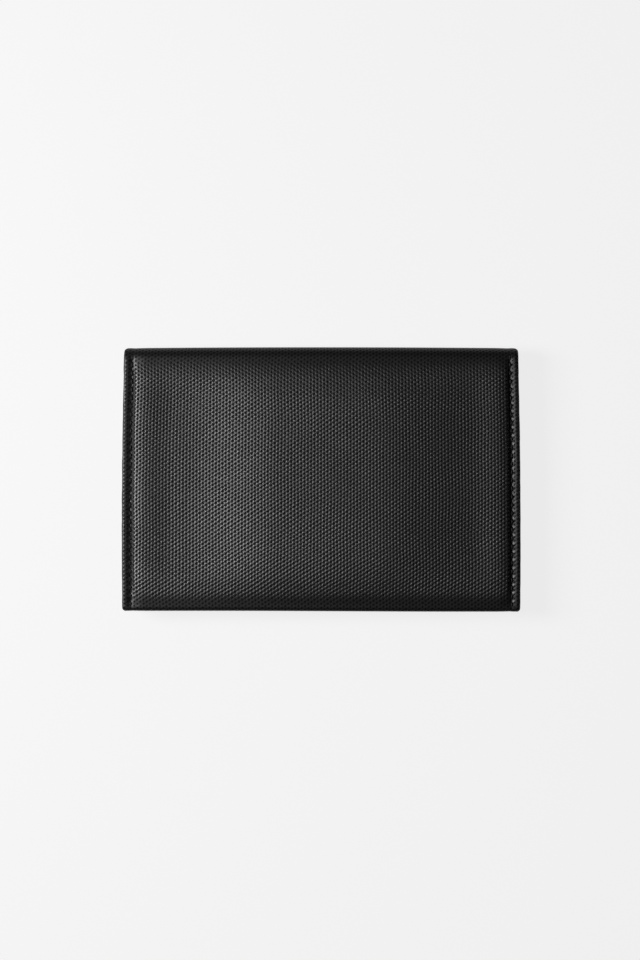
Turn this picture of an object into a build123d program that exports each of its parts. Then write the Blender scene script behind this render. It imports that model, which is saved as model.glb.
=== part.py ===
"""Passport holder wallet: one folded strip of leather, closed and lying on its back cover.

X runs along the spine, +Y points from the fore-edge to the spine, and +Z is up.
The origin is on the surface that the wallet lies on, under the middle of its outline.
"""

import os
from math import pi

from build123d import *

os.makedirs("parts", exist_ok=True)

# ---------------------------------------------------------------- driving dimensions, mm

length = 145.0  # along the spine
depth = 96.0  # from fore-edge to spine, closed
leather = 1.0
padding = 0.6
board = 0.5
lining = 0.3
pocket_space = 0.7  # room for a passport's own cover, or for papers
passport_bay = 4.6  # room for a passport's pages between the closed covers
slot_leather = 0.5
slot_count = 3

fold_radius = 4.5  # outside of the leather, at the two folds of the spine
side_margin = 4.0  # flat border outside the padding, along the sewn short sides
fore_edge_margin = 3.0  # the same border along the fore-edge
spine_margin = 2.0  # and along the spine
field_round = 1.0  # rounding of the padded field's rim
field_corner = 2.0  # corner radius of the padded field's outline

seam_inset = 2.9  # stitch line, in from the short sides
stitch_pitch = 3.0
stitch_length = 2.2
thread_width = 0.6
thread_height = 0.35
fold_stitches = 2  # in one seam, round one fold of the spine
groove_width = 1.0
groove_depth = 0.4
seam_band = 5.0  # where the pocket leather is drawn down to the lining and sewn

passport_pocket_mouth = 20.0  # Y of the back pocket's mouth
paper_pocket_mouth = 38.0  # Y of the front pocket's mouth
thumb_notch_radius = 12.0

slot_width = 96.0
slot_bottom = -44.0
first_slot_mouth = 29.0
slot_step = 12.0
slot_seam_inset = 1.5

# ---------------------------------------------------------------- worked out from them

pad_rise = padding + board
back_lining_z = pad_rise + leather
back_pocket_z = back_lining_z + lining + pocket_space
bay_floor = back_pocket_z + leather
thickness = 2 * bay_floor + passport_bay + slot_count * slot_leather
mid_plane = Plane.XY.offset(thickness / 2)

spine_y = depth / 2
fore_edge_y = -depth / 2
edge_radius = (bay_floor - pad_rise) / 2  # outside of the fold at the fore-edge
edge_fold_y = fore_edge_y + edge_radius
fold_y = spine_y - fold_radius
lower_fold_z = pad_rise + fold_radius
spine_flat = thickness - 2 * lower_fold_z

seam_x = length / 2 - seam_inset
field_length = length - 2 * side_margin
field_low = fore_edge_y + fore_edge_margin
field_high = fold_y - spine_margin
groove_length = fold_y - edge_fold_y
stitch_count = int(groove_length / stitch_pitch)
hinge_inset = fold_radius * (1 - pi / 4)  # keeps the leather's length as a fold opens flat


def between(low, high):
    """The middle of a stretch, for placing a sketch."""
    return (low + high) / 2


def layer(width, y_low, y_high, z_low, height):
    """A flat layer centred on X."""
    with BuildPart() as flat:
        with BuildSketch(Plane.XY.offset(z_low)):
            with Locations((0, between(y_low, y_high))):
                Rectangle(width, y_high - y_low)
        extrude(amount=height)
    return flat.part


def ring_sector(y, z, outer, inner, start, turn, x_low, width):
    """A bent strip: part of a ring about an axis along X, from an angle in the YZ plane."""
    with BuildPart() as bent:
        with BuildSketch(Plane.YZ.offset(x_low)):
            with BuildLine():
                rim = CenterArc((y, z), outer, start, turn)
                bore = CenterArc((y, z), inner, start, turn)
                Line(rim @ 0, bore @ 0)
                Line(rim @ 1, bore @ 1)
            make_face()
        extrude(amount=width)
    return bent.part


def stitch_row(x, y_low, y_high, z_low, count):
    """A row of separate stitches along Y."""
    with BuildPart() as row:
        with BuildSketch(Plane.XY.offset(z_low)):
            with Locations((x, between(y_low, y_high))):
                with GridLocations(0, stitch_pitch, 1, count):
                    SlotOverall(stitch_length, thread_width, rotation=90)
        extrude(amount=thread_height)
    return row.part


# ---------------------------------------------------------------- back cover

# Outer leather: a thin border, and a padded field that stands proud of it by the padding
# and the board, which lie in the hollow behind the field.
with BuildPart() as back_cover_leather:
    add(layer(length, edge_fold_y, fold_y, pad_rise, leather))
    with BuildSketch(Plane.XY.offset(pad_rise)):
        with Locations((0, between(field_low, field_high))):
            RectangleRounded(field_length, field_high - field_low, field_corner)
    extrude(amount=-pad_rise)
    fillet(back_cover_leather.faces().sort_by(Axis.Z)[0].edges(), radius=field_round)
    add(
        layer(field_length - 2 * leather, field_low + leather, field_high - leather, leather, pad_rise),
        mode=Mode.SUBTRACT,
    )
    with BuildSketch(Plane.XY.offset(pad_rise)):
        with Locations((-seam_x, between(edge_fold_y, fold_y)), (seam_x, between(edge_fold_y, fold_y))):
            Rectangle(groove_width, groove_length)
    extrude(amount=groove_depth, mode=Mode.SUBTRACT)
back_cover_leather.part.label = "back_cover_leather"
export_step(back_cover_leather.part, "parts/back_cover_leather.step")

with BuildPart() as back_padding:
    add(layer(field_length - 2 * leather, field_low + leather, field_high - leather, leather, padding))
back_padding.part.label = "back_padding"
export_step(back_padding.part, "parts/back_padding.step")

with BuildPart() as back_board:
    board_z = leather + padding
    add(layer(field_length - 2 * leather, field_low + leather, field_high - leather, board_z, board))
back_board.part.label = "back_board"
export_step(back_board.part, "parts/back_board.step")

with BuildPart() as back_lining:
    add(layer(length, edge_fold_y, fold_y, back_lining_z, lining))
back_lining.part.label = "back_lining"
export_step(back_lining.part, "parts/back_lining.step")

# The fore-edge: the same leather turned over to the inside.
with BuildPart() as back_edge_leather:
    add(
        ring_sector(
            edge_fold_y, pad_rise + edge_radius, edge_radius, edge_radius - leather,
            90, 180, -length / 2, length,
        )
    )
back_edge_leather.part.label = "back_edge_leather"
export_step(back_edge_leather.part, "parts/back_edge_leather.step")


def pocket_leather(mouth_y):
    """The turned-in leather of the back cover, drawn down to the lining along both seams."""
    with BuildPart() as pocket:
        add(layer(length, edge_fold_y, mouth_y, back_pocket_z, leather))
        with BuildSketch(Plane.XY.offset(back_pocket_z)):
            with Locations((0, between(edge_fold_y, mouth_y))):
                with GridLocations(length - seam_band, 0, 2, 1):
                    Rectangle(seam_band, mouth_y - edge_fold_y)
        extrude(amount=-pocket_space)
        with BuildSketch(Plane.XY.offset(bay_floor)):
            with Locations((0, between(edge_fold_y, mouth_y))):
                with GridLocations(2 * seam_x, 0, 2, 1):
                    Rectangle(groove_width, mouth_y - edge_fold_y)
        extrude(amount=-groove_depth, mode=Mode.SUBTRACT)
    return pocket.part


with BuildPart() as back_pocket_leather:
    add(pocket_leather(passport_pocket_mouth))
    with BuildSketch(Plane.XY.offset(back_pocket_z)):
        with Locations((0, passport_pocket_mouth)):
            Circle(thumb_notch_radius)
    extrude(amount=leather, mode=Mode.SUBTRACT)
back_pocket_leather.part.label = "back_pocket_leather"
export_step(back_pocket_leather.part, "parts/back_pocket_leather.step")


def seam_thread(x, mouth_y):
    """The stitches of one seam of the back cover, seen outside and on the pocket."""
    inner_count = int((mouth_y - edge_fold_y) / stitch_pitch)
    inner_z = bay_floor - groove_depth
    outer_z = pad_rise + groove_depth - thread_height
    with BuildPart() as thread:
        add(stitch_row(x, edge_fold_y, fold_y, outer_z, stitch_count))
        add(stitch_row(x, edge_fold_y, mouth_y, inner_z, inner_count))
    return thread.part


with BuildPart() as back_left_thread:
    add(seam_thread(-seam_x, passport_pocket_mouth))
back_left_thread.part.label = "back_left_thread"
export_step(back_left_thread.part, "parts/back_left_thread.step")

with BuildPart() as back_right_thread:
    add(seam_thread(seam_x, passport_pocket_mouth))
back_right_thread.part.label = "back_right_thread"
export_step(back_right_thread.part, "parts/back_right_thread.step")

# ---------------------------------------------------------------- spine


def fold_thread():
    """The stitches of both seams on the lower fold."""
    stitch_turn = 180 / pi * stitch_length / fold_radius
    turn_pitch = 90 / fold_stitches
    seat = fold_radius - groove_depth
    with BuildPart() as thread:
        for x in (-seam_x, seam_x):
            for number in range(fold_stitches):
                middle = -90 + (number + 0.5) * turn_pitch
                add(
                    ring_sector(
                        fold_y, lower_fold_z, seat + thread_height, seat,
                        middle - stitch_turn / 2, stitch_turn, x - thread_width / 2, thread_width,
                    )
                )
    return thread.part


with BuildPart() as lower_fold_leather:
    add(ring_sector(fold_y, lower_fold_z, fold_radius, fold_radius - leather, -90, 90, -length / 2, length))
    for x in (-seam_x, seam_x):
        add(
            ring_sector(
                fold_y, lower_fold_z, fold_radius, fold_radius - groove_depth,
                -90, 90, x - groove_width / 2, groove_width,
            ),
            mode=Mode.SUBTRACT,
        )
lower_fold_leather.part.label = "lower_fold_leather"
export_step(lower_fold_leather.part, "parts/lower_fold_leather.step")

with BuildPart() as lower_fold_lining:
    add(
        ring_sector(
            fold_y, lower_fold_z, fold_radius - leather, fold_radius - leather - lining,
            -90, 90, -length / 2, length,
        )
    )
lower_fold_lining.part.label = "lower_fold_lining"
export_step(lower_fold_lining.part, "parts/lower_fold_lining.step")

with BuildPart() as lower_fold_thread:
    add(fold_thread())
lower_fold_thread.part.label = "lower_fold_thread"
export_step(lower_fold_thread.part, "parts/lower_fold_thread.step")

with BuildPart() as spine_leather:
    add(layer(length, spine_y - leather, spine_y, lower_fold_z, spine_flat))
    with BuildSketch(Plane.XZ.offset(-spine_y)):
        with Locations((-seam_x, thickness / 2), (seam_x, thickness / 2)):
            Rectangle(groove_width, spine_flat)
    extrude(amount=groove_depth, mode=Mode.SUBTRACT)
spine_leather.part.label = "spine_leather"
export_step(spine_leather.part, "parts/spine_leather.step")

with BuildPart() as spine_lining:
    add(layer(length, spine_y - leather - lining, spine_y - leather, lower_fold_z, spine_flat))
spine_lining.part.label = "spine_lining"
export_step(spine_lining.part, "parts/spine_lining.step")

with BuildPart() as spine_thread:
    with BuildSketch(Plane.XZ.offset(groove_depth - spine_y)):
        with Locations((-seam_x, thickness / 2), (seam_x, thickness / 2)):
            SlotOverall(stitch_length, thread_width, rotation=90)
    extrude(amount=-thread_height)
spine_thread.part.label = "spine_thread"
export_step(spine_thread.part, "parts/spine_thread.step")

with BuildPart() as upper_fold_leather:
    mirror(lower_fold_leather.part, about=mid_plane)
upper_fold_leather.part.label = "upper_fold_leather"
export_step(upper_fold_leather.part, "parts/upper_fold_leather.step")

with BuildPart() as upper_fold_lining:
    mirror(lower_fold_lining.part, about=mid_plane)
upper_fold_lining.part.label = "upper_fold_lining"
export_step(upper_fold_lining.part, "parts/upper_fold_lining.step")

with BuildPart() as upper_fold_thread:
    mirror(lower_fold_thread.part, about=mid_plane)
upper_fold_thread.part.label = "upper_fold_thread"
export_step(upper_fold_thread.part, "parts/upper_fold_thread.step")

# ---------------------------------------------------------------- front cover

# The front cover is the back cover mirrored upwards, with a deeper pocket.
with BuildPart() as front_cover_leather:
    mirror(back_cover_leather.part, about=mid_plane)
front_cover_leather.part.label = "front_cover_leather"
export_step(front_cover_leather.part, "parts/front_cover_leather.step")

with BuildPart() as front_padding:
    mirror(back_padding.part, about=mid_plane)
front_padding.part.label = "front_padding"
export_step(front_padding.part, "parts/front_padding.step")

with BuildPart() as front_board:
    mirror(back_board.part, about=mid_plane)
front_board.part.label = "front_board"
export_step(front_board.part, "parts/front_board.step")

with BuildPart() as front_lining:
    mirror(back_lining.part, about=mid_plane)
front_lining.part.label = "front_lining"
export_step(front_lining.part, "parts/front_lining.step")

with BuildPart() as front_edge_leather:
    mirror(back_edge_leather.part, about=mid_plane)
front_edge_leather.part.label = "front_edge_leather"
export_step(front_edge_leather.part, "parts/front_edge_leather.step")

with BuildPart() as front_pocket_leather:
    mirror(pocket_leather(paper_pocket_mouth), about=mid_plane)
front_pocket_leather.part.label = "front_pocket_leather"
export_step(front_pocket_leather.part, "parts/front_pocket_leather.step")

with BuildPart() as front_left_thread:
    mirror(seam_thread(-seam_x, paper_pocket_mouth), about=mid_plane)
front_left_thread.part.label = "front_left_thread"
export_step(front_left_thread.part, "parts/front_left_thread.step")

with BuildPart() as front_right_thread:
    mirror(seam_thread(seam_x, paper_pocket_mouth), about=mid_plane)
front_right_thread.part.label = "front_right_thread"
export_step(front_right_thread.part, "parts/front_right_thread.step")

# Card slots hang under the front pocket, each one shorter and lower than the one before.
slot_ceiling = thickness - bay_floor
lowest_slot_z = slot_ceiling - slot_count * slot_leather
lowest_slot_mouth = first_slot_mouth - (slot_count - 1) * slot_step
for number in range(1, slot_count + 1):
    mouth_y = first_slot_mouth - (number - 1) * slot_step
    with BuildPart() as card_slot:
        add(layer(slot_width, slot_bottom, mouth_y, slot_ceiling - number * slot_leather, slot_leather))
        if number == slot_count:
            with BuildSketch(Plane.XY.offset(lowest_slot_z)):
                with Locations((0, between(slot_bottom, lowest_slot_mouth))):
                    with GridLocations(slot_width - 2 * slot_seam_inset, 0, 2, 1):
                        Rectangle(groove_width, lowest_slot_mouth - slot_bottom)
            extrude(amount=thread_height, mode=Mode.SUBTRACT)
    card_slot.part.label = f"card_slot_{number}"
    export_step(card_slot.part, f"parts/card_slot_{number}.step")

with BuildPart() as card_slot_thread:
    for x in (slot_seam_inset - slot_width / 2, slot_width / 2 - slot_seam_inset):
        count = int((lowest_slot_mouth - slot_bottom) / stitch_pitch)
        add(stitch_row(x, slot_bottom, lowest_slot_mouth, lowest_slot_z, count))
card_slot_thread.part.label = "card_slot_thread"
export_step(card_slot_thread.part, "parts/card_slot_thread.step")

print(f"closed thickness {thickness:.3f} mm, {stitch_count} stitches a seam")
print(f"lower hinge axis at Y {spine_y - hinge_inset:.3f}, Z {pad_rise + hinge_inset:.3f}")
print(f"upper hinge axis at Y {spine_y - hinge_inset:.3f}, Z {thickness - pad_rise - hinge_inset:.3f}")
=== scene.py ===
"""The looks of the passport holder wallet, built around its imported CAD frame.

Lengths are in millimetres until a mesh is made. The front and back halves of the leather
strip share one profile: s runs along the strip and equals Y on the flat of a cover, and a
height h stands off it, outwards. The back half is the front half mirrored downwards.
"""

from math import pi, radians

import bmesh
import bpy
import numpy as np
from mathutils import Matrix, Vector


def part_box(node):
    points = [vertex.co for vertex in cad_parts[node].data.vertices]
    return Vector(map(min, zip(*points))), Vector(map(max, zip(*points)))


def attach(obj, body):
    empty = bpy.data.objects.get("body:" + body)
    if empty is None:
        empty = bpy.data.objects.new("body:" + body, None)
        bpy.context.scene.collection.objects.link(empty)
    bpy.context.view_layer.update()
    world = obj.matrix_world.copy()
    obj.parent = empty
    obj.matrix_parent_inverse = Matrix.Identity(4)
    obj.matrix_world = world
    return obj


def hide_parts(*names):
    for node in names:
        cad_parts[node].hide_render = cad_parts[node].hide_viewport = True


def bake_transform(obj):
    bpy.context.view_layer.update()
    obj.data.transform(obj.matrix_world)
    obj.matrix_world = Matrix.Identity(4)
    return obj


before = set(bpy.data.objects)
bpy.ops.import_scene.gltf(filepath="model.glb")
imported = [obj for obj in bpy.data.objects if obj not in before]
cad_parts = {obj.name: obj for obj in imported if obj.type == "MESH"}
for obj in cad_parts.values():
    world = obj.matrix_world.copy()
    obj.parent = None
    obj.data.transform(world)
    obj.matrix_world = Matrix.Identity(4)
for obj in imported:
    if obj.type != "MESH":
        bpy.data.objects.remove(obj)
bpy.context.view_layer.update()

MM = 0.001

# ---------------------------------------------------------------- sizes from the frame


def box_mm(node):
    """A CAD node's lowest and highest corners, in millimetres."""
    low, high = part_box(node)
    return np.array(low) / MM, np.array(high) / MM


_, cover_high = box_mm("front_cover_leather")
edge_low, edge_high = box_mm("front_edge_leather")
fold_low, fold_high = box_mm("upper_fold_leather")
spine_low, spine_high = box_mm("spine_leather")
lining_low, lining_high = box_mm("front_lining")
board_low, board_high = box_mm("front_board")
_, front_pocket_high = box_mm("front_pocket_leather")
_, back_pocket_high = box_mm("back_pocket_leather")
thread_low, thread_high = box_mm("front_right_thread")

half_length = cover_high[0]
margin_z = fold_high[2]
field_rise = cover_high[2] - margin_z
middle_z = (spine_low[2] + spine_high[2]) / 2
leather = spine_high[1] - spine_low[1]
lining = lining_high[2] - lining_low[2]
edge_radius = (edge_high[2] - edge_low[2]) / 2
edge_y = edge_high[1]
fold_y = fold_low[1]
fold_radius = fold_high[1] - fold_y
pocket_drop = margin_z - edge_low[2]
seam_x = (thread_low[0] + thread_high[0]) / 2

roll_length = pi * edge_radius
fold_length = pi / 2 * fold_radius
strip_end = fold_y + fold_length + margin_z - fold_radius - middle_z
turned_in = 3.0  # how far the cover's piece of leather runs on past the fore-edge's turn
strip_start = edge_y - roll_length - turned_in

# ---------------------------------------------------------------- grain, swell and seams, mm

column_pitch = 1.197
row_pitch = 1.464
relief = 0.35
noise_reach = 240.0  # the noise grids run this far either way from the origin
plain_sharp = 50  # degrees; steeper edges than this are shaded as creases
grain_sharp = 100  # the grain's own slopes stay smooth

corner_radius = 1.3
border_width = 3.1  # from a short side to the foot of the padded field
front_plump = 0.1
back_pressed = 0.24
dome_rise = 2.0

stitch_pitch = 3.0
stitch_length = 1.9
thread_width = 0.62
ahead_step = 0.01  # how far on a seam is looked at to find its direction
seam_stitches = np.arange(strip_end - stitch_pitch / 2, edge_y, -stitch_pitch)

board_room = 0.12  # from the board up to the leather's inner face
board_slack = 0.8  # how far that room runs on past the board's ends
board_slope = 1.2  # the distance over which it then closes
notch_radius = 12.0
slot_numbers = (1, 2, 3)


def smooth(t):
    """A soft step from 0 to 1."""
    t = np.clip(t, 0, 1)
    return t * t * (3 - 2 * t)


def bell(t):
    """A bump of height 1 whose standard width is 1."""
    return np.exp(-0.5 * t * t)


def smooth_noise(x, y, cell, seed):
    """Value noise from -1 to 1, with one random value every cell millimetres."""
    count = int(2 * noise_reach / cell) + 3
    values = np.random.default_rng(seed).uniform(-1, 1, (count, count))
    gx, gy = (x + noise_reach) / cell, (y + noise_reach) / cell
    ix, iy = np.floor(gx).astype(int), np.floor(gy).astype(int)
    fx, fy = smooth(gx - ix), smooth(gy - iy)
    low = values[ix, iy] * (1 - fx) + values[ix + 1, iy] * fx
    high = values[ix, iy + 1] * (1 - fx) + values[ix + 1, iy + 1] * fx
    return low * (1 - fy) + high * fy


def grain_place(x, s, seed):
    """Where a point lies in the embossing pattern, which wanders slightly as hide does."""
    u = x + 0.22 * smooth_noise(x, s, 13.0, seed) + 0.07 * smooth_noise(x, s, 3.1, seed + 1)
    v = s + 0.22 * smooth_noise(x, s, 11.0, seed + 2) + 0.07 * smooth_noise(x, s, 2.7, seed + 3)
    return u, v


def grain_height(x, s, seed):
    """A net of slanting strands round staggered pits: about -1 in the pits, 0.4 on the strands."""
    u, v = grain_place(x, s, seed)
    across = 2 * pi * u / column_pitch
    along = 2 * pi * v / row_pitch
    steep = np.cos(across / 2 - along)
    shallow = np.cos(across / 2 + along)
    total = (1.0 * steep + 0.7 * shallow + 0.7 * np.cos(across)) / 2.4
    uneven = 1 + 0.22 * smooth_noise(x, s, 1.3, seed + 4) + 0.12 * smooth_noise(x, s, 6.0, seed + 5)
    return -total * uneven


# ---------------------------------------------------------------- the strip's profile


def strip_profile(s):
    """(y, z) of the leather's outside along the front half, and its outward normal."""
    s = np.asarray(s, float)
    roll = np.clip((edge_y - s) / edge_radius, 0, pi)
    inside = np.maximum(edge_y - s - roll_length, 0)
    bend = np.clip((s - fold_y) / fold_radius, 0, pi / 2)
    beyond = np.maximum(s - fold_y - fold_length, 0)
    flat = np.clip(s, edge_y, fold_y)
    y = flat - edge_radius * np.sin(roll) + inside + fold_radius * np.sin(bend)
    z = margin_z - edge_radius * (1 - np.cos(roll)) - fold_radius * (1 - np.cos(bend)) - beyond
    normal_y = np.sin(bend) - np.sin(roll)
    normal_z = np.cos(bend) * np.cos(roll)
    return y, z, normal_y, normal_z


def corner_cut(y):
    """How far the outline's rounded corners draw in along X, at Y; 0.98 keeps their slope finite."""
    fore = np.clip(edge_y - edge_radius + corner_radius - y, 0, corner_radius)
    spine = np.clip(y - spine_high[1] + corner_radius, 0, corner_radius)
    return corner_radius - np.sqrt(corner_radius**2 - 0.98 * np.maximum(fore, spine) ** 2)


def settle(x, y):
    """The outline's slight unevenness: narrower by the spine, rounded corners, bowed long sides."""
    narrowing = 0.0125 * ((y + 20) / 66) ** 2 + corner_cut(y) / half_length
    bow = 0.32 * (1 - (x / half_length) ** 2) * smooth((y - 10) / 30)
    sag = 0.3 * smooth((x + 40) / 90) * smooth((-y - 10) / 30)
    return x * (1 - narrowing), y + bow - sag


def same_shape(*values):
    """The values as float arrays of one shape."""
    return np.broadcast_arrays(*(np.asarray(value, float) for value in values))


def placed(x, y, z, front):
    """Points of the closed wallet; the back half is the front half mirrored downwards."""
    px, py = settle(x, y)
    return np.stack([px, py, z if front else 2 * middle_z - z], axis=-1)


def strip_points(x, s, h, front=True):
    """Points at heights h off the strip, s along it."""
    x, s, h = same_shape(x, s, h)
    y, z, normal_y, normal_z = strip_profile(s)
    return placed(x, y + normal_y * h, z + normal_z * h, front)


def from_side(x):
    """Distance in from the nearer short side."""
    return half_length - np.abs(x)


def field_shape(x, s):
    """0 on the borders, 1 on the padded field, with soft slopes between."""
    rim = np.where(x < 0, 1.6, 2.0)
    across = 0.8 * smooth((from_side(x) - border_width) / rim)
    across += 0.2 * smooth((from_side(x) - border_width - 0.3) / 9.0)
    along = smooth((s - edge_y - 0.3) / 11.0) * smooth((fold_y + 0.8 - s) / 8.0)
    return across * along


def front_puff(x, s):
    """The front cover's swell: padded field, humps beside the seams, and a broad dome.

    From the left the dome dips behind the seam, rises in two steps to left of the middle, and
    falls again to the right seam.
    """
    ends = smooth((s - edge_y) / 20.0) * smooth((fold_y + 1.5 - s) / 17.0)
    dome = -0.45 * smooth((x + 68) / 14)
    dome += 1.25 * smooth((x + 50) / 34) + 0.2 * smooth((x + 24) / 34)
    dome += 0.2 * smooth((x - 54) / 12) - 1.2 * smooth((x - 20) / 42)
    humps = bell((from_side(x) - 7.0) / 2.6)
    drift = 0.10 * smooth_noise(x, s, 24.0, 71) + 0.05 * smooth_noise(x, s, 11.0, 72)
    field = field_rise + front_plump + 0.05 * humps + drift
    return field_shape(x, s) * field + dome_rise * dome * ends


def back_puff(x, s):
    """The back cover's swell, pressed flat by what it lies on."""
    return field_shape(x, s) * (field_rise - back_pressed)


def from_needle_hole(s):
    """Distance along a seam from the nearest needle hole."""
    turns = (s - strip_end) / stitch_pitch
    return (turns - np.round(turns)) * stitch_pitch


def seam_groove(x, s):
    """How deep both seams are drawn in: the stitch line, its needle holes and the bank beside it."""
    off_line = np.abs(np.abs(x) - seam_x)
    line = 0.14 * bell(off_line / 0.5)
    hole = 0.3 * bell(off_line / 0.4) * bell(from_needle_hole(s) / 0.4)
    bank = 0.3 * smooth((from_side(x) - 0.4) / (half_length - seam_x - 0.4))
    tight = 1 - 0.8 * smooth((s - fold_y) / 2.5) - 0.8 * smooth((edge_y + 1.0 - s) / 1.5)
    return tight * (line + hole + bank * (1 - smooth((from_side(x) - border_width) / 4.6)))


def relief_share(x, s):
    """How much of the grain survives: pressed out in the seams and stretched out on the folds."""
    sides = 0.25 + 0.75 * smooth((from_side(x) - border_width + 0.1) / 1.4)
    fold = 0.04 + 0.96 * smooth((fold_y + 0.4 - s) / 5.0)
    roll = 0.04 + 0.96 * smooth((s - edge_y - 1.2) / 5.5)
    return sides * fold * roll


def edge_fall(x):
    """The rounding of the leather's cut edge."""
    return 0.22 * (1 - smooth(from_side(x) / 0.6))


# ---------------------------------------------------------------- meshes


def finish_mesh(name, points, faces, uv=None, share=None, sharp=plain_sharp):
    """A closed smooth-shaded object from points in millimetres; share is how much grain shows."""
    mesh = bpy.data.meshes.new(name)
    mesh.from_pydata((np.asarray(points) * MM).tolist(), [], faces)
    shaper = bmesh.new()
    shaper.from_mesh(mesh)
    bmesh.ops.recalc_face_normals(shaper, faces=shaper.faces)
    shaper.to_mesh(mesh)
    shaper.free()
    mesh.polygons.foreach_set("use_smooth", np.ones(len(mesh.polygons), bool))
    mesh.set_sharp_from_angle(angle=radians(sharp))
    if uv is not None:
        layer = mesh.uv_layers.new(name="Grain")
        corner = np.empty(len(mesh.loops), np.int32)
        mesh.loops.foreach_get("vertex_index", corner)
        layer.data.foreach_set("uv", (np.asarray(uv)[corner] * MM).ravel())
    if share is not None:
        attribute = mesh.attributes.new("grain_share", "FLOAT", "POINT")
        attribute.data.foreach_set("value", np.asarray(share, np.float32))
    thing = bpy.data.objects.new(name, mesh)
    bpy.context.scene.collection.objects.link(thing)
    return thing


def grid_faces(index, flip=False):
    """The quads of a grid of point numbers."""
    a, b = index[:-1, :-1].ravel(), index[:-1, 1:].ravel()
    c, d = index[1:, 1:].ravel(), index[1:, :-1].ravel()
    order = (a, d, c, b) if flip else (a, b, c, d)
    return np.stack(order, axis=1).tolist()


def zip_faces(points, first, second):
    """Triangles between two rows of points that run side by side."""

    def along(row):
        steps = np.linalg.norm(np.diff(points[row], axis=0), axis=1)
        return np.concatenate([[0], np.cumsum(steps) / steps.sum()])

    at_first, at_second = along(first), along(second)
    faces = []
    i = j = 0
    while i < len(first) - 1 or j < len(second) - 1:
        step_first = j == len(second) - 1 or (
            i < len(first) - 1 and at_first[i + 1] <= at_second[j + 1]
        )
        if step_first:
            faces.append((first[i], first[i + 1], second[j]))
            i += 1
        else:
            faces.append((first[i], second[j + 1], second[j]))
            j += 1
    return [tuple(int(v) for v in face) for face in faces]


def shell(name, outer, inner, outer_uv, inner_uv, share=None, sharp=plain_sharp):
    """A closed sheet: a fine outer face, a coarser inner one, and a rim joining their borders."""
    rows, columns = outer.shape[:2]
    few_rows, few_columns = inner.shape[:2]
    points = np.concatenate([outer.reshape(-1, 3), inner.reshape(-1, 3)])
    out = np.arange(rows * columns).reshape(rows, columns)
    into = rows * columns + np.arange(few_rows * few_columns).reshape(few_rows, few_columns)
    faces = grid_faces(out) + grid_faces(into, flip=True)
    for first, second in (
        (out[0], into[0]),
        (out[-1], into[-1]),
        (out[:, 0], into[:, 0]),
        (out[:, -1], into[:, -1]),
    ):
        faces += zip_faces(points, first, second)
    uv = np.concatenate([outer_uv.reshape(-1, 2), inner_uv.reshape(-1, 2)])
    if share is not None:
        share = np.concatenate([share.ravel(), np.zeros(few_rows * few_columns)])
    return finish_mesh(name, points, faces, uv, share, sharp)


def fine_columns():
    """X of the fine columns: a third of the grain's pitch, and closer beside the seams."""
    inner = seam_x - 1.0
    middle = np.linspace(-inner, inner, 2 * round(inner / (column_pitch / 3)) + 1)
    seam = np.linspace(inner, seam_x + 1.0, 9)[1:]
    border = np.linspace(seam_x + 1.0, half_length, 6)[1:]
    right = np.concatenate([seam, border])
    return np.concatenate([-right[::-1], middle, right])


def fine_rows():
    """s of the fine rows: a quarter of the grain's pitch on the flat."""
    inside = np.linspace(strip_start, edge_y - roll_length, 4)[:-1]
    roll = np.linspace(edge_y - roll_length, edge_y, 11)[:-1]
    flat = np.linspace(edge_y, fold_y, round((fold_y - edge_y) / (row_pitch / 4)))[:-1]
    bend = np.linspace(fold_y, fold_y + fold_length, 17)[:-1]
    spine = np.linspace(fold_y + fold_length, strip_end, 4)
    return np.concatenate([inside, roll, flat, bend, spine])


def grain_uv(x, s, seed):
    """The embossing's coordinates as UVs, so that the shader's grain lies on the mesh's."""
    return np.stack(grain_place(x, s, seed), axis=-1)


def underside(puff, x, s):
    """The leather's inner face, kept just above the board and the foam it wraps."""
    past_sides = np.abs(x) - board_high[0]
    past_ends = np.maximum(board_low[1] - board_slack - s, s - board_high[1] - board_slack)
    beyond = np.maximum(past_sides, past_ends)
    room = board_high[2] - margin_z + board_room - leather * smooth(beyond / board_slope)
    return np.maximum(puff(x, s) - leather, room)


def cover_leather(name, puff, seed, front):
    """The outer leather of one cover, from inside the fore-edge to the middle of the spine."""
    s, x = np.meshgrid(fine_rows(), fine_columns(), indexing="ij")
    h = puff(x, s) - seam_groove(x, s) - edge_fall(x)
    share = relief_share(x, s)
    h += relief * share * grain_height(x, s, seed)
    few_s = np.concatenate(
        [
            np.linspace(strip_start, edge_y - roll_length, 2)[:-1],
            np.linspace(edge_y - roll_length, edge_y, 9)[:-1],
            np.linspace(edge_y, fold_y, 46)[:-1],
            np.linspace(fold_y, fold_y + fold_length, 9)[:-1],
            np.linspace(fold_y + fold_length, strip_end, 2),
        ]
    )
    board_end = board_high[0]
    few_x = np.concatenate(
        [
            [-half_length, -board_end - board_slope],
            np.linspace(-board_end, board_end, 57),
            [board_end + board_slope, half_length],
        ]
    )
    coarse_s, coarse_x = np.meshgrid(few_s, few_x, indexing="ij")
    depth = underside(puff, coarse_x, coarse_s)
    return shell(
        name,
        strip_points(x, s, h, front),
        strip_points(coarse_x, coarse_s, depth, front),
        grain_uv(x, s, seed),
        grain_uv(coarse_x, coarse_s, seed),
        share,
        grain_sharp,
    )


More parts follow.
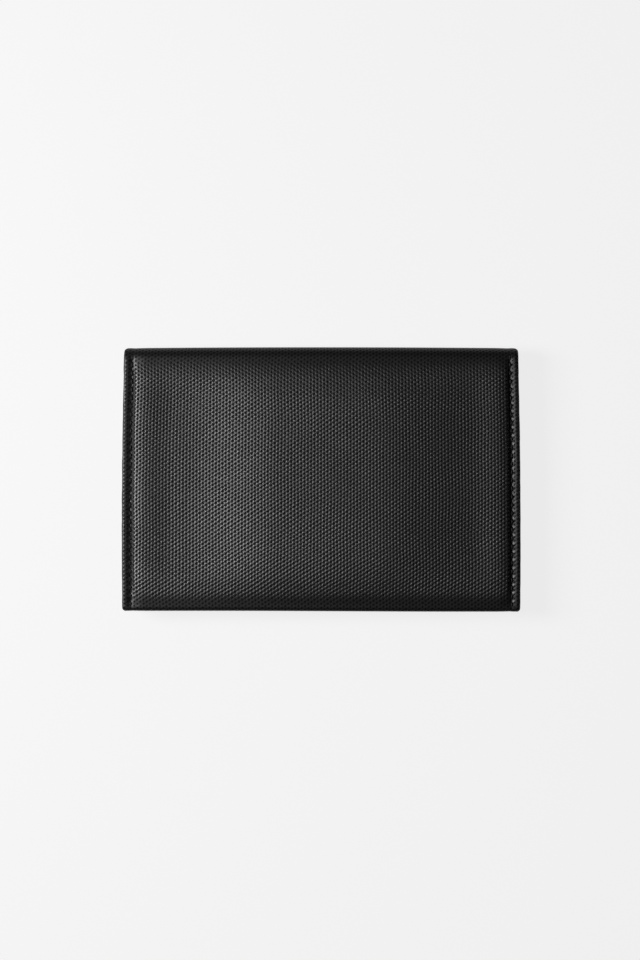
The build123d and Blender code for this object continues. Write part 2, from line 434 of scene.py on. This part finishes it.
def pocket_leather(name, mouth_y, notch, seed, front):
    """The turned-in leather: it faces the inside, its mouth towards the spine."""
    start_y = edge_y + turned_in
    x, y, reach = pocket_rows(fine_columns(), start_y, mouth_y, notch, row_pitch / 4)
    s = edge_y - roll_length - (y - edge_y)
    from_mouth = reach - y
    drawn = 0.3 * (1 - smooth((from_side(x) - 2.6) / 4.0))
    waves = 0.12 * smooth_noise(x, y, 19.0, seed + 9) * smooth((y - start_y) / 8)
    crease = 0.16 * bell((from_mouth - 1.9) / 0.42)
    cut_mouth = 0.42 * (1 - smooth(from_mouth / 0.75))
    h = (waves - drawn) * smooth((y - start_y) / 3.0)
    h -= crease + cut_mouth + edge_fall(x) + 0.5 * seam_pits(x, y)
    sides = 0.3 + 0.7 * smooth((from_side(x) - border_width + 0.1) / 2.4)
    share = np.maximum(sides * smooth((from_mouth - 2.2) / 1.0), 0.12)
    share *= 0.35 + 0.65 * smooth((y - start_y) / 4.0)
    h += relief * share * grain_height(x, s, seed)
    outer = inside_points(x, y, pocket_drop + h, front)
    few_x = np.linspace(-half_length, half_length, 73)
    coarse_x, few_y, _ = pocket_rows(few_x, start_y, mouth_y, notch, 2.0)
    coarse_s = edge_y - roll_length - (few_y - edge_y)
    inner = inside_points(coarse_x, few_y, pocket_drop - leather, front)
    fine_uv, coarse_uv = grain_uv(x, s, seed), grain_uv(coarse_x, coarse_s, seed)
    return shell(name, outer, inner, fine_uv, coarse_uv, share, grain_sharp)


def notch_depth(x, radius):
    """How far a round thumb notch cuts back the pocket's mouth; averaging softens its corners."""
    if not radius:
        return np.zeros_like(x)
    near = x[:, None] + np.linspace(-1.0, 1.0, 11)
    return radius * np.sqrt(np.clip(1 - (near / radius) ** 2, 0, 1)).mean(axis=1)


def pocket_rows(x_row, start_y, mouth_y, notch, step):
    """X, Y and the mouth's Y for rows that run straight below the notch and bend round it above."""
    straight_y = mouth_y - notch - 5.0
    reach = mouth_y - notch_depth(x_row, notch)
    low = np.linspace(start_y, straight_y, round((straight_y - start_y) / step))[:-1, None]
    t = np.linspace(0, 1, round((mouth_y - straight_y) / step))[:, None]
    straight = np.broadcast_to(low, (len(low), len(x_row)))
    y = np.concatenate([straight, straight_y + t * (reach - straight_y)])
    return np.broadcast_to(x_row, y.shape), y, reach


def inside_points(x, y, drop, front=True):
    """Points at a depth below the cover's outside, on the side that faces the other cover."""
    x, y, drop = same_shape(x, y, drop)
    return placed(x, y, margin_z - drop, front)


def seam_pits(x, y):
    """The inside of the same needle holes."""
    off_line = np.abs(np.abs(x) - seam_x)
    return 0.4 * bell(off_line / 0.5) + 0.6 * bell(off_line / 0.3) * bell(from_needle_hole(y) / 0.38)


def stitch(points, faces, middle, along, up, width, height, dive):
    """Adds one stitch of two-ply thread that rises from one needle hole and dives into the next."""
    rings, sides = 13, 10
    ply_bulge, ply_twist, flatness = 0.16, 2.2 * pi, 0.4
    across = np.cross(along, up)
    start = len(points)
    for at in np.linspace(-1, 1, rings):
        centre = middle + along * at * stitch_length / 2 + up * (height - dive * abs(at) ** 3)
        for turn in np.arange(sides) / sides * 2 * pi:
            ply = 1 + ply_bulge * np.cos(2 * (turn - ply_twist * at))
            wide = ply * width / 2 * np.cos(turn)
            tall = ply * flatness * width * np.sin(turn)
            points.append(centre + across * wide + up * tall)
    index = start + np.arange(rings * sides).reshape(rings, sides)
    wrapped = np.concatenate([index, index[:, :1]], axis=1)
    faces += grid_faces(wrapped)
    faces.append(tuple(int(v) for v in index[0][::-1]))
    faces.append(tuple(int(v) for v in index[-1]))


def stitches_on(spots, width=thread_width, height=0.06, dive=0.55):
    """Points and faces of stitches at (middle, a point just ahead, normal) triples."""
    points, faces = [], []
    for middle, ahead, up in spots:
        along = (ahead - middle) / np.linalg.norm(ahead - middle)
        stitch(points, faces, middle, along, up, width, height, dive)
    return points, faces


def seam_thread(name, x, pocket_mouth, front):
    """Both faces of one seam: outside along the strip, inside on the pocket and the lining."""
    spots = []
    sign = 1 if front else -1
    for s in seam_stitches:
        _, _, normal_y, normal_z = strip_profile(s)
        up = np.array([0, normal_y, sign * normal_z])
        sunk = -0.22 - 0.22 * smooth((s - fold_y) / 2.5)
        both = (s, s + ahead_step)
        middle, ahead = (strip_points(x, at, sunk, front) for at in both)
        spots.append((middle, ahead, up))
        under_pocket = s < pocket_mouth - 1.0
        past_pocket = s > pocket_mouth + 1.4
        if under_pocket:
            middle, ahead = (inside_points(x, at, pocket_drop - 0.15, front) for at in both)
        elif past_pocket:
            middle, ahead = (strip_points(x, at, -leather - lining, front) for at in both)
        else:
            continue
        spots.append((middle, ahead, -up))
    points, faces = stitches_on(spots)
    return finish_mesh(name, points, faces)


def lining_cloth(name, seed, front):
    """The lining behind one cover, run on round the fold to the middle of the spine."""
    fine_from = fold_y - 6
    side = half_length - 0.4
    flat = np.linspace(edge_y + 1.0, fine_from, 80)[:-1]
    bend = np.linspace(fine_from, strip_end, 40)
    s, x = np.meshgrid(np.concatenate([flat, bend]), np.linspace(-side, side, 146), indexing="ij")
    near_fold = smooth((s - fine_from + 1) / 6)
    ripple = 0.4 * smooth_noise(x, s * 3, 9.0, seed) + 0.2 * smooth_noise(x, s, 3.0, seed + 1)
    calm = smooth(from_side(x) / 6)
    thick = lining + 0.06 * near_fold * calm * (1 + ripple)
    outer_h = np.full_like(s, -leather - 0.01)
    inner_h = -leather - thick - 0.02 * smooth_noise(x, s, 5.0, seed + 2)
    uv = np.stack([x, s], axis=-1)
    return shell(name, strip_points(x, s, inner_h, front), strip_points(x, s, outer_h, front), uv, uv)


def edge_paint(name, pocket_mouth, front):
    """The burnished, painted edges of all layers along both short sides."""
    inset, bulge, overlap = 0.35, 0.62, 0.1
    rolled = edge_y - edge_radius * np.cos(np.linspace(0, pi / 2, 9)[:-1])
    flat = np.linspace(edge_y, fold_y, 150)[:-1]
    bend = np.linspace(fold_y, strip_end, 26)
    tops, bottoms = [], []
    for y in rolled:
        half = np.sqrt(max(edge_radius**2 - (edge_y - y) ** 2, 0.02))
        tops.append((y, margin_z - edge_radius + half))
        bottoms.append((y, margin_z - edge_radius - half))
    for s in np.concatenate([flat, bend]):
        open_part = smooth((s - pocket_mouth) / 0.8)
        depth = pocket_drop * (1 - open_part) + (leather + lining) * open_part
        y, z, normal_y, normal_z = strip_profile(s)
        tops.append((y, z))
        bottoms.append((y - normal_y * depth, z - normal_z * depth))
    tops, bottoms = np.array(tops, float), np.array(bottoms, float)
    tops[:, 1] -= overlap
    bottoms[:, 1] += overlap
    turn = np.linspace(0, pi, 9)
    points, faces = [], []
    for side in (-1, 1):
        start = len(points)
        wander = 0.05 * smooth_noise(tops[:, 0], np.full(len(tops), float(side)), 2.3, 31)
        for (ty, tz), (by, bz), sway in zip(tops, bottoms, wander):
            for angle in turn:
                share = (1 - np.cos(angle)) / 2
                out = half_length - inset + (bulge + sway) * np.sin(angle) ** 0.8
                y, z = ty + (by - ty) * share, tz + (bz - tz) * share
                points.append(placed(side * out, y, z, front))
        index = start + np.arange(len(tops) * len(turn)).reshape(len(tops), len(turn))
        wrapped = np.concatenate([index, index[:, :1]], axis=1)
        faces += grid_faces(wrapped)
        faces.append(tuple(int(v) for v in index[0]))
        faces.append(tuple(int(v) for v in index[-1]))
    return finish_mesh(name, points, faces, sharp=60)


def foam(name, puff, front):
    """The pad between the board and the leather."""
    inset, thin = 0.5, 0.05
    columns = np.linspace(board_low[0] + inset, board_high[0] - inset, 90)
    rows = np.linspace(board_low[1] + inset, board_high[1] - inset, 60)
    s, x = np.meshgrid(rows, columns, indexing="ij")
    rim = np.minimum.reduce([x - x.min(), x.max() - x, s - s.min(), s.max() - s])
    base = board_high[2] - margin_z + 0.01
    full = puff(x, s) - leather - 0.04
    top = base + thin + np.maximum(full - base - thin, 0.02) * smooth(rim / 1.5)
    uv = np.stack([x, s], axis=-1)
    upper, lower = (strip_points(x, s, h, front) for h in (top, base))
    return shell(name, upper, lower, uv, uv)


def card_slot(name, node, seed):
    """One card slot: a thin leather panel with creased edges, rounded corners and a lifting mouth."""
    low, high = box_mm(node)
    corner = 2.2
    t, w = np.meshgrid(np.linspace(0, 1, 110), np.linspace(-1, 1, 150), indexing="ij")
    x = w * high[0]
    in_from_end = high[0] - np.abs(x)
    into_corner = np.clip(corner - in_from_end, 0, corner)
    reach = high[1] - corner + np.sqrt(np.clip(corner**2 - into_corner**2, 0, None))
    y = low[1] + t * (reach - low[1])
    from_mouth = reach - y
    to_edge = np.minimum(in_from_end, np.minimum(from_mouth, y - low[1] + 0.3))
    face = 0.10 * smooth_noise(x, y, 15.0, seed) * smooth(in_from_end / 6)
    face -= 0.12 * bell((from_mouth - 1.6) / 0.35) + 0.10 * bell((in_from_end - 1.5) / 0.4)
    face -= 0.22 * (1 - smooth(to_edge / 0.5))
    lift = 0.25 * smooth((8 - from_mouth) / 8) * smooth(in_from_end / 22)
    drop = margin_z - low[2] + face + lift
    back = margin_z - high[2] + lift
    uv = np.stack([x, y], axis=-1)
    return shell(name, inside_points(x, y, drop), inside_points(x, y, back), uv, uv)


def slot_thread(name):
    """The card slots' stitches, both sides, each row on the leather it passes over."""
    inset = 1.5
    spots = []
    slots = [box_mm(f"card_slot_{number}") for number in slot_numbers]
    low, high = slots[0]
    for x in (inset - high[0], high[0] - inset):
        for y in np.arange(low[1] + 2.0, high[1] - inset, stitch_pitch):
            face_z = min(bottom[2] for bottom, top in slots if y < top[1] - 1.2)
            middle, ahead = (inside_points(x, at, margin_z - face_z) for at in (y, y + ahead_step))
            spots.append((middle, ahead, np.array([0, 0, -1.0])))
    points, faces = stitches_on(spots, width=0.5, height=0.05, dive=0.4)
    return finish_mesh(name, points, faces)


# ---------------------------------------------------------------- materials


class Nodes:
    """Short ways to add and join shader nodes."""

    def __init__(self, name):
        self.material = bpy.data.materials.new(name)
        self.material.use_nodes = True
        self.tree = self.material.node_tree
        self.shader = self.tree.nodes["Principled BSDF"]

    def add(self, kind, **settings):
        """A new node of this kind, with its settings."""
        node = self.tree.nodes.new(kind)
        for key, value in settings.items():
            setattr(node, key, value)
        return node

    def feed(self, source, target):
        """Sets a socket to a constant, or links another node's output to it."""
        if isinstance(source, (int, float, tuple)):
            target.default_value = source
        else:
            self.tree.links.new(source, target)

    def math(self, operation, *values):
        node = self.add("ShaderNodeMath", operation=operation)
        for value, socket in zip(values, node.inputs):
            self.feed(value, socket)
        return node.outputs[0]

    def grain_coordinates(self):
        """The strip's own coordinates, in millimetres."""
        place = self.add("ShaderNodeUVMap", uv_map="Grain")
        scaled = self.add("ShaderNodeVectorMath", operation="SCALE")
        self.feed(place.outputs[0], scaled.inputs[0])
        scaled.inputs["Scale"].default_value = 1 / MM
        return scaled.outputs[0]

    def object_coordinates(self):
        place = self.add("ShaderNodeTexCoord")
        scaled = self.add("ShaderNodeVectorMath", operation="SCALE")
        self.feed(place.outputs["Object"], scaled.inputs[0])
        scaled.inputs["Scale"].default_value = 1 / MM
        return scaled.outputs[0]

    def noise(self, vector, scale, detail=2.0, rough=0.5):
        node = self.add("ShaderNodeTexNoise")
        self.feed(vector, node.inputs["Vector"])
        node.inputs["Scale"].default_value = scale
        node.inputs["Detail"].default_value = detail
        node.inputs["Roughness"].default_value = rough
        return node.outputs[0]

    def ramp(self, value, low, high, from_low=0.0, from_high=1.0):
        node = self.add("ShaderNodeMapRange")
        self.feed(value, node.inputs["Value"])
        node.inputs["From Min"].default_value = from_low
        node.inputs["From Max"].default_value = from_high
        node.inputs["To Min"].default_value = low
        node.inputs["To Max"].default_value = high
        return node.outputs[0]

    def grey(self, value):
        node = self.add("ShaderNodeCombineColor")
        for socket in node.inputs:
            self.feed(value, socket)
        return node.outputs[0]

    def bump(self, height, distance, onto=None):
        node = self.add("ShaderNodeBump")
        self.feed(height, node.inputs["Height"])
        node.inputs["Distance"].default_value = distance * MM
        node.inputs["Strength"].default_value = 1.0
        if onto is not None:
            self.feed(onto, node.inputs["Normal"])
        return node.outputs[0]


def wave(nodes, across, along, across_turns, along_turns):
    """cos(2 pi (across * across_turns + along * along_turns))."""
    first = nodes.math("MULTIPLY", across, 2 * pi * across_turns)
    both = nodes.math("MULTIPLY_ADD", along, 2 * pi * along_turns, first)
    return nodes.math("COSINE", both)


def grained_leather(name, level, rough):
    """Embossed leather: dull dark pits between shinier strands, pressed smooth where share is low.
    The pits' darker base colour is painted shade.
    """
    nodes = Nodes(name)
    place = nodes.grain_coordinates()
    split = nodes.add("ShaderNodeSeparateXYZ")
    nodes.feed(place, split.inputs[0])
    across, along = split.outputs[0], split.outputs[1]
    steep = wave(nodes, across, along, 0.5 / column_pitch, -1 / row_pitch)
    shallow = wave(nodes, across, along, 0.5 / column_pitch, 1 / row_pitch)
    columns = wave(nodes, across, along, 1 / column_pitch, 0.0)
    total = nodes.math("MULTIPLY_ADD", shallow, 0.62, steep)
    total = nodes.math("MULTIPLY_ADD", columns, 0.8, total)
    crest = nodes.ramp(total, 1.0, 0.0, -1.1, 2.2)
    share = nodes.add("ShaderNodeAttribute", attribute_name="grain_share").outputs["Fac"]
    pores = nodes.noise(place, 4.5, 3.0, 0.6)
    patches = nodes.noise(place, 0.35, 2.0)
    open_grain = nodes.ramp(crest, rough + 0.16, rough - 0.04)
    pressed = rough - 0.04
    shine = nodes.math("MULTIPLY_ADD", nodes.math("SUBTRACT", open_grain, pressed), share, pressed)
    shine = nodes.math("MULTIPLY_ADD", nodes.math("SUBTRACT", patches, 0.5), 0.10, shine)
    shine = nodes.math("MULTIPLY_ADD", nodes.math("SUBTRACT", pores, 0.5), 0.16, shine)
    nodes.feed(shine, nodes.shader.inputs["Roughness"])
    # Painted shade: the base colour darkens into the pits and lightens on the strands; the pores add
    # random tone.
    tone = nodes.ramp(crest, 0.55 * level, 1.15 * level)
    tone = nodes.math("MULTIPLY", tone, nodes.ramp(pores, 0.75, 1.25))
    nodes.feed(nodes.grey(tone), nodes.shader.inputs["Base Color"])
    sharper = nodes.math("POWER", nodes.math("SUBTRACT", 1.0, crest), 2.5)
    pits = nodes.math("MULTIPLY", sharper, share)
    deep = nodes.bump(nodes.math("MULTIPLY", pits, -1.0), 0.07)
    fine = nodes.bump(nodes.math("MULTIPLY", pores, nodes.ramp(share, 0.3, 1.0)), 0.035, onto=deep)
    nodes.feed(fine, nodes.shader.inputs["Normal"])
    glint = nodes.math("MULTIPLY", nodes.ramp(crest, 0.05, 0.62), nodes.ramp(share, 0.42, 1.0))
    nodes.feed(glint, nodes.shader.inputs["Specular IOR Level"])
    return nodes.material


def smooth_leather(name, level, rough):
    """Thin calf with fine creases between its pores; the creases are darkened in the base colour as
    painted shade.
    """
    nodes = Nodes(name)
    place = nodes.grain_coordinates()
    cells = nodes.add("ShaderNodeTexVoronoi", feature="DISTANCE_TO_EDGE")
    nodes.feed(place, cells.inputs["Vector"])
    cells.inputs["Scale"].default_value = 1.7
    creases = nodes.ramp(cells.outputs["Distance"], 0.0, 1.0, 0.0, 0.18)
    pores = nodes.noise(place, 3.0, 3.0)
    nodes.feed(nodes.ramp(creases, rough + 0.12, rough), nodes.shader.inputs["Roughness"])
    # Painted shade: the base colour darkens into the creases; the pores add random tone.
    tone = nodes.ramp(creases, 0.6 * level, level)
    tone = nodes.math("MULTIPLY", tone, nodes.ramp(pores, 0.8, 1.2))
    nodes.feed(nodes.grey(tone), nodes.shader.inputs["Base Color"])
    first = nodes.bump(creases, 0.03)
    nodes.feed(nodes.bump(pores, 0.02, onto=first), nodes.shader.inputs["Normal"])
    return nodes.material


def woven_cloth(name, level):
    """A plain weave of fine threads, with a little sheen; the base colour darkens between threads and
    where they pass under, as painted shade.
    """
    nodes = Nodes(name)
    place = nodes.grain_coordinates()
    split = nodes.add("ShaderNodeSeparateXYZ")
    nodes.feed(place, split.inputs[0])
    across, along = split.outputs[0], split.outputs[1]
    thread_pitch = 0.42
    threads = 1 / thread_pitch
    warp = wave(nodes, across, along, threads, 0.0)
    weft = wave(nodes, across, along, 0.0, threads)
    turn = wave(nodes, across, along, threads / 2, threads / 2)
    over = nodes.ramp(turn, 0.0, 1.0, -0.3, 0.3)
    high = nodes.math("MULTIPLY", warp, over)
    low = nodes.math("MULTIPLY", weft, nodes.math("SUBTRACT", 1.0, over))
    weave = nodes.ramp(nodes.math("ADD", high, low), 0.0, 1.0, -1.0, 1.0)
    fuzz = nodes.noise(place, 6.0, 2.0)
    # Painted shade: the base colour darkens between threads and where a thread passes under, and
    # lightens where it lies on top; the fuzz adds random tone.
    tone = nodes.ramp(weave, 0.45 * level, 1.3 * level)
    tone = nodes.math("MULTIPLY", tone, nodes.ramp(fuzz, 0.75, 1.25))
    nodes.feed(nodes.grey(tone), nodes.shader.inputs["Base Color"])
    nodes.feed(nodes.ramp(weave, 0.85, 0.68), nodes.shader.inputs["Roughness"])
    first = nodes.bump(weave, 0.08)
    nodes.feed(nodes.bump(fuzz, 0.02, onto=first), nodes.shader.inputs["Normal"])
    nodes.shader.inputs["Sheen Weight"].default_value = 0.12
    return nodes.material


def shade(level):
    """A neutral colour."""
    return (level, level, level, 1)


def plain_noise(name, dark, light, rough, scale, depth, specular=0.5):
    """Thread, edge paint, foam and board: a tone from dark to light and a bump, both from noise."""
    nodes = Nodes(name)
    place = nodes.object_coordinates()
    grain = nodes.noise(place, scale, 3.0, 0.6)
    broad = nodes.noise(place, scale / 8, 2.0)
    mix = nodes.add("ShaderNodeMix", data_type="RGBA")
    nodes.feed(grain, mix.inputs["Factor"])
    dark_socket, light_socket, colour = mix.inputs[6], mix.inputs[7], mix.outputs[2]
    dark_socket.default_value = dark
    light_socket.default_value = light
    nodes.feed(colour, nodes.shader.inputs["Base Color"])
    nodes.feed(nodes.ramp(broad, rough - 0.08, rough + 0.08), nodes.shader.inputs["Roughness"])
    nodes.feed(nodes.bump(grain, depth), nodes.shader.inputs["Normal"])
    nodes.shader.inputs["Specular IOR Level"].default_value = specular
    return nodes.material


def paint(thing, material):
    """Gives a piece its material."""
    thing.data.materials.clear()
    thing.data.materials.append(material)


# ---------------------------------------------------------------- the wallet

outer_look = grained_leather("grained_leather", level=0.0032, rough=0.48)
inner_look = grained_leather("inner_grained_leather", level=0.0045, rough=0.50)
slot_look = smooth_leather("smooth_leather", level=0.012, rough=0.40)
cloth_look = woven_cloth("woven_lining", level=0.022)
thread_look = plain_noise(
    "waxed_thread", shade(0.002), shade(0.005), rough=0.6, scale=9.0, depth=0.03, specular=0.15
)
edge_look = plain_noise(
    "edge_paint", shade(0.004), shade(0.008), rough=0.5, scale=2.5, depth=0.02, specular=0.15
)
foam_look = plain_noise("pad_foam", shade(0.03), shade(0.09), rough=0.85, scale=4.0, depth=0.1)
board_look = plain_noise(
    "grey_board", (0.20, 0.17, 0.13, 1), (0.38, 0.33, 0.27, 1), rough=0.85, scale=3.0, depth=0.05
)


def cover(side, body, puff, pocket_mouth, notch, seed, front):
    """Everything that one cover carries, with the half of the spine next to it."""
    fold = "upper" if front else "lower"
    outside = cover_leather(f"{side}_leather", puff, seed, front)
    paint(outside, outer_look)
    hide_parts(f"{side}_cover_leather", f"{side}_edge_leather", f"{fold}_fold_leather")
    cloth = lining_cloth(f"{side}_lining_cloth", seed + 20, front)
    paint(cloth, cloth_look)
    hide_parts(f"{side}_lining", f"{fold}_fold_lining")
    rims = edge_paint(f"{side}_painted_edges", pocket_mouth, front)
    paint(rims, edge_look)
    threads = [
        seam_thread(f"{side}_{hand}_stitches", x, pocket_mouth, front)
        for hand, x in (("left", -seam_x), ("right", seam_x))
    ]
    for thread, hand in zip(threads, ("left", "right")):
        paint(thread, thread_look)
        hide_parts(f"{side}_{hand}_thread", f"{fold}_fold_thread")
    for piece in (outside, cloth, rims, *threads):
        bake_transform(piece)
    pocket = pocket_leather(f"{side}_pocket", pocket_mouth, notch, seed, front)
    paint(pocket, inner_look)
    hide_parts(f"{side}_pocket_leather")
    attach(pocket, body)
    pad = foam(f"{side}_foam_pad", puff, front)
    paint(pad, foam_look)
    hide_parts(f"{side}_padding")
    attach(pad, body)
    board_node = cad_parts[f"{side}_board"]
    board_node.data.materials.clear()
    board_node.data.materials.append(board_look)
    return outside, cloth, threads


outside, cloth, threads = cover("front", "front_cover", front_puff, front_pocket_high[1], 0, 11, True)
cover("back", "back_cover", back_puff, back_pocket_high[1], notch_radius, 41, False)
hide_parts("spine_leather")
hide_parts("spine_lining")
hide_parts("spine_thread")

for number in slot_numbers:
    panel = card_slot(f"card_slot_{number}_panel", f"card_slot_{number}", 90 + number)
    paint(panel, slot_look)
    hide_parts(f"card_slot_{number}")
    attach(panel, "front_cover")
slot_stitches = slot_thread("card_slot_stitches")
paint(slot_stitches, thread_look)
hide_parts("card_slot_thread")
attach(slot_stitches, "front_cover")

# ---------------------------------------------------------------- floor, light and camera


def floor():
    mesh = bpy.data.meshes.new("floor")
    reach = 3.0
    corners = [(-reach, -reach, 0), (reach, -reach, 0), (reach, reach, 0), (-reach, reach, 0)]
    mesh.from_pydata(corners, [], [(0, 1, 2, 3)])
    thing = bpy.data.objects.new("floor", mesh)
    bpy.context.scene.collection.objects.link(thing)
    nodes = Nodes("pale_floor")
    nodes.shader.inputs["Base Color"].default_value = shade(0.05)
    nodes.shader.inputs["Roughness"].default_value = 0.9
    nodes.shader.inputs["Specular IOR Level"].default_value = 0.1
    nodes.shader.inputs["Emission Color"].default_value = shade(1)
    nodes.shader.inputs["Emission Strength"].default_value = 0.82
    mesh.materials.append(nodes.material)


def area_light(name, place, size, power):
    light = bpy.data.lights.new(name, "AREA")
    light.shape = "RECTANGLE"
    light.size, light.size_y = size
    light.energy = power
    lamp = bpy.data.objects.new(name, light)
    bpy.context.scene.collection.objects.link(lamp)
    lamp.location = place
    aim = -lamp.location
    lamp.rotation_euler = aim.to_track_quat("-Z", "Y").to_euler()


floor()
area_light("key_softbox", place=(-0.42, 0.06, 0.42), size=(0.2, 0.3), power=7.6)
area_light("overhead_fill", place=(0.2, 0.5, 1.9), size=(0.8, 0.8), power=0.5)

world = bpy.data.worlds.new("studio")
world.use_nodes = True
world.node_tree.nodes["Background"].inputs["Color"].default_value = shade(1)
world.node_tree.nodes["Background"].inputs["Strength"].default_value = 0.03
bpy.context.scene.world = world
bpy.context.scene.view_settings.view_transform = "Standard"

camera_data = bpy.data.cameras.new("camera")
camera = bpy.data.objects.new("camera", camera_data)
bpy.context.scene.collection.objects.link(camera)
bpy.context.scene.camera = camera
camera_data.lens = 100
frame_height = 0.3497  # metres of the cover's plane from the picture's top to its bottom
off_centre = (-0.00044, -0.00026)
camera_distance = frame_height * camera_data.lens / camera_data.sensor_width
camera.location = (*off_centre, margin_z * MM + camera_distance)
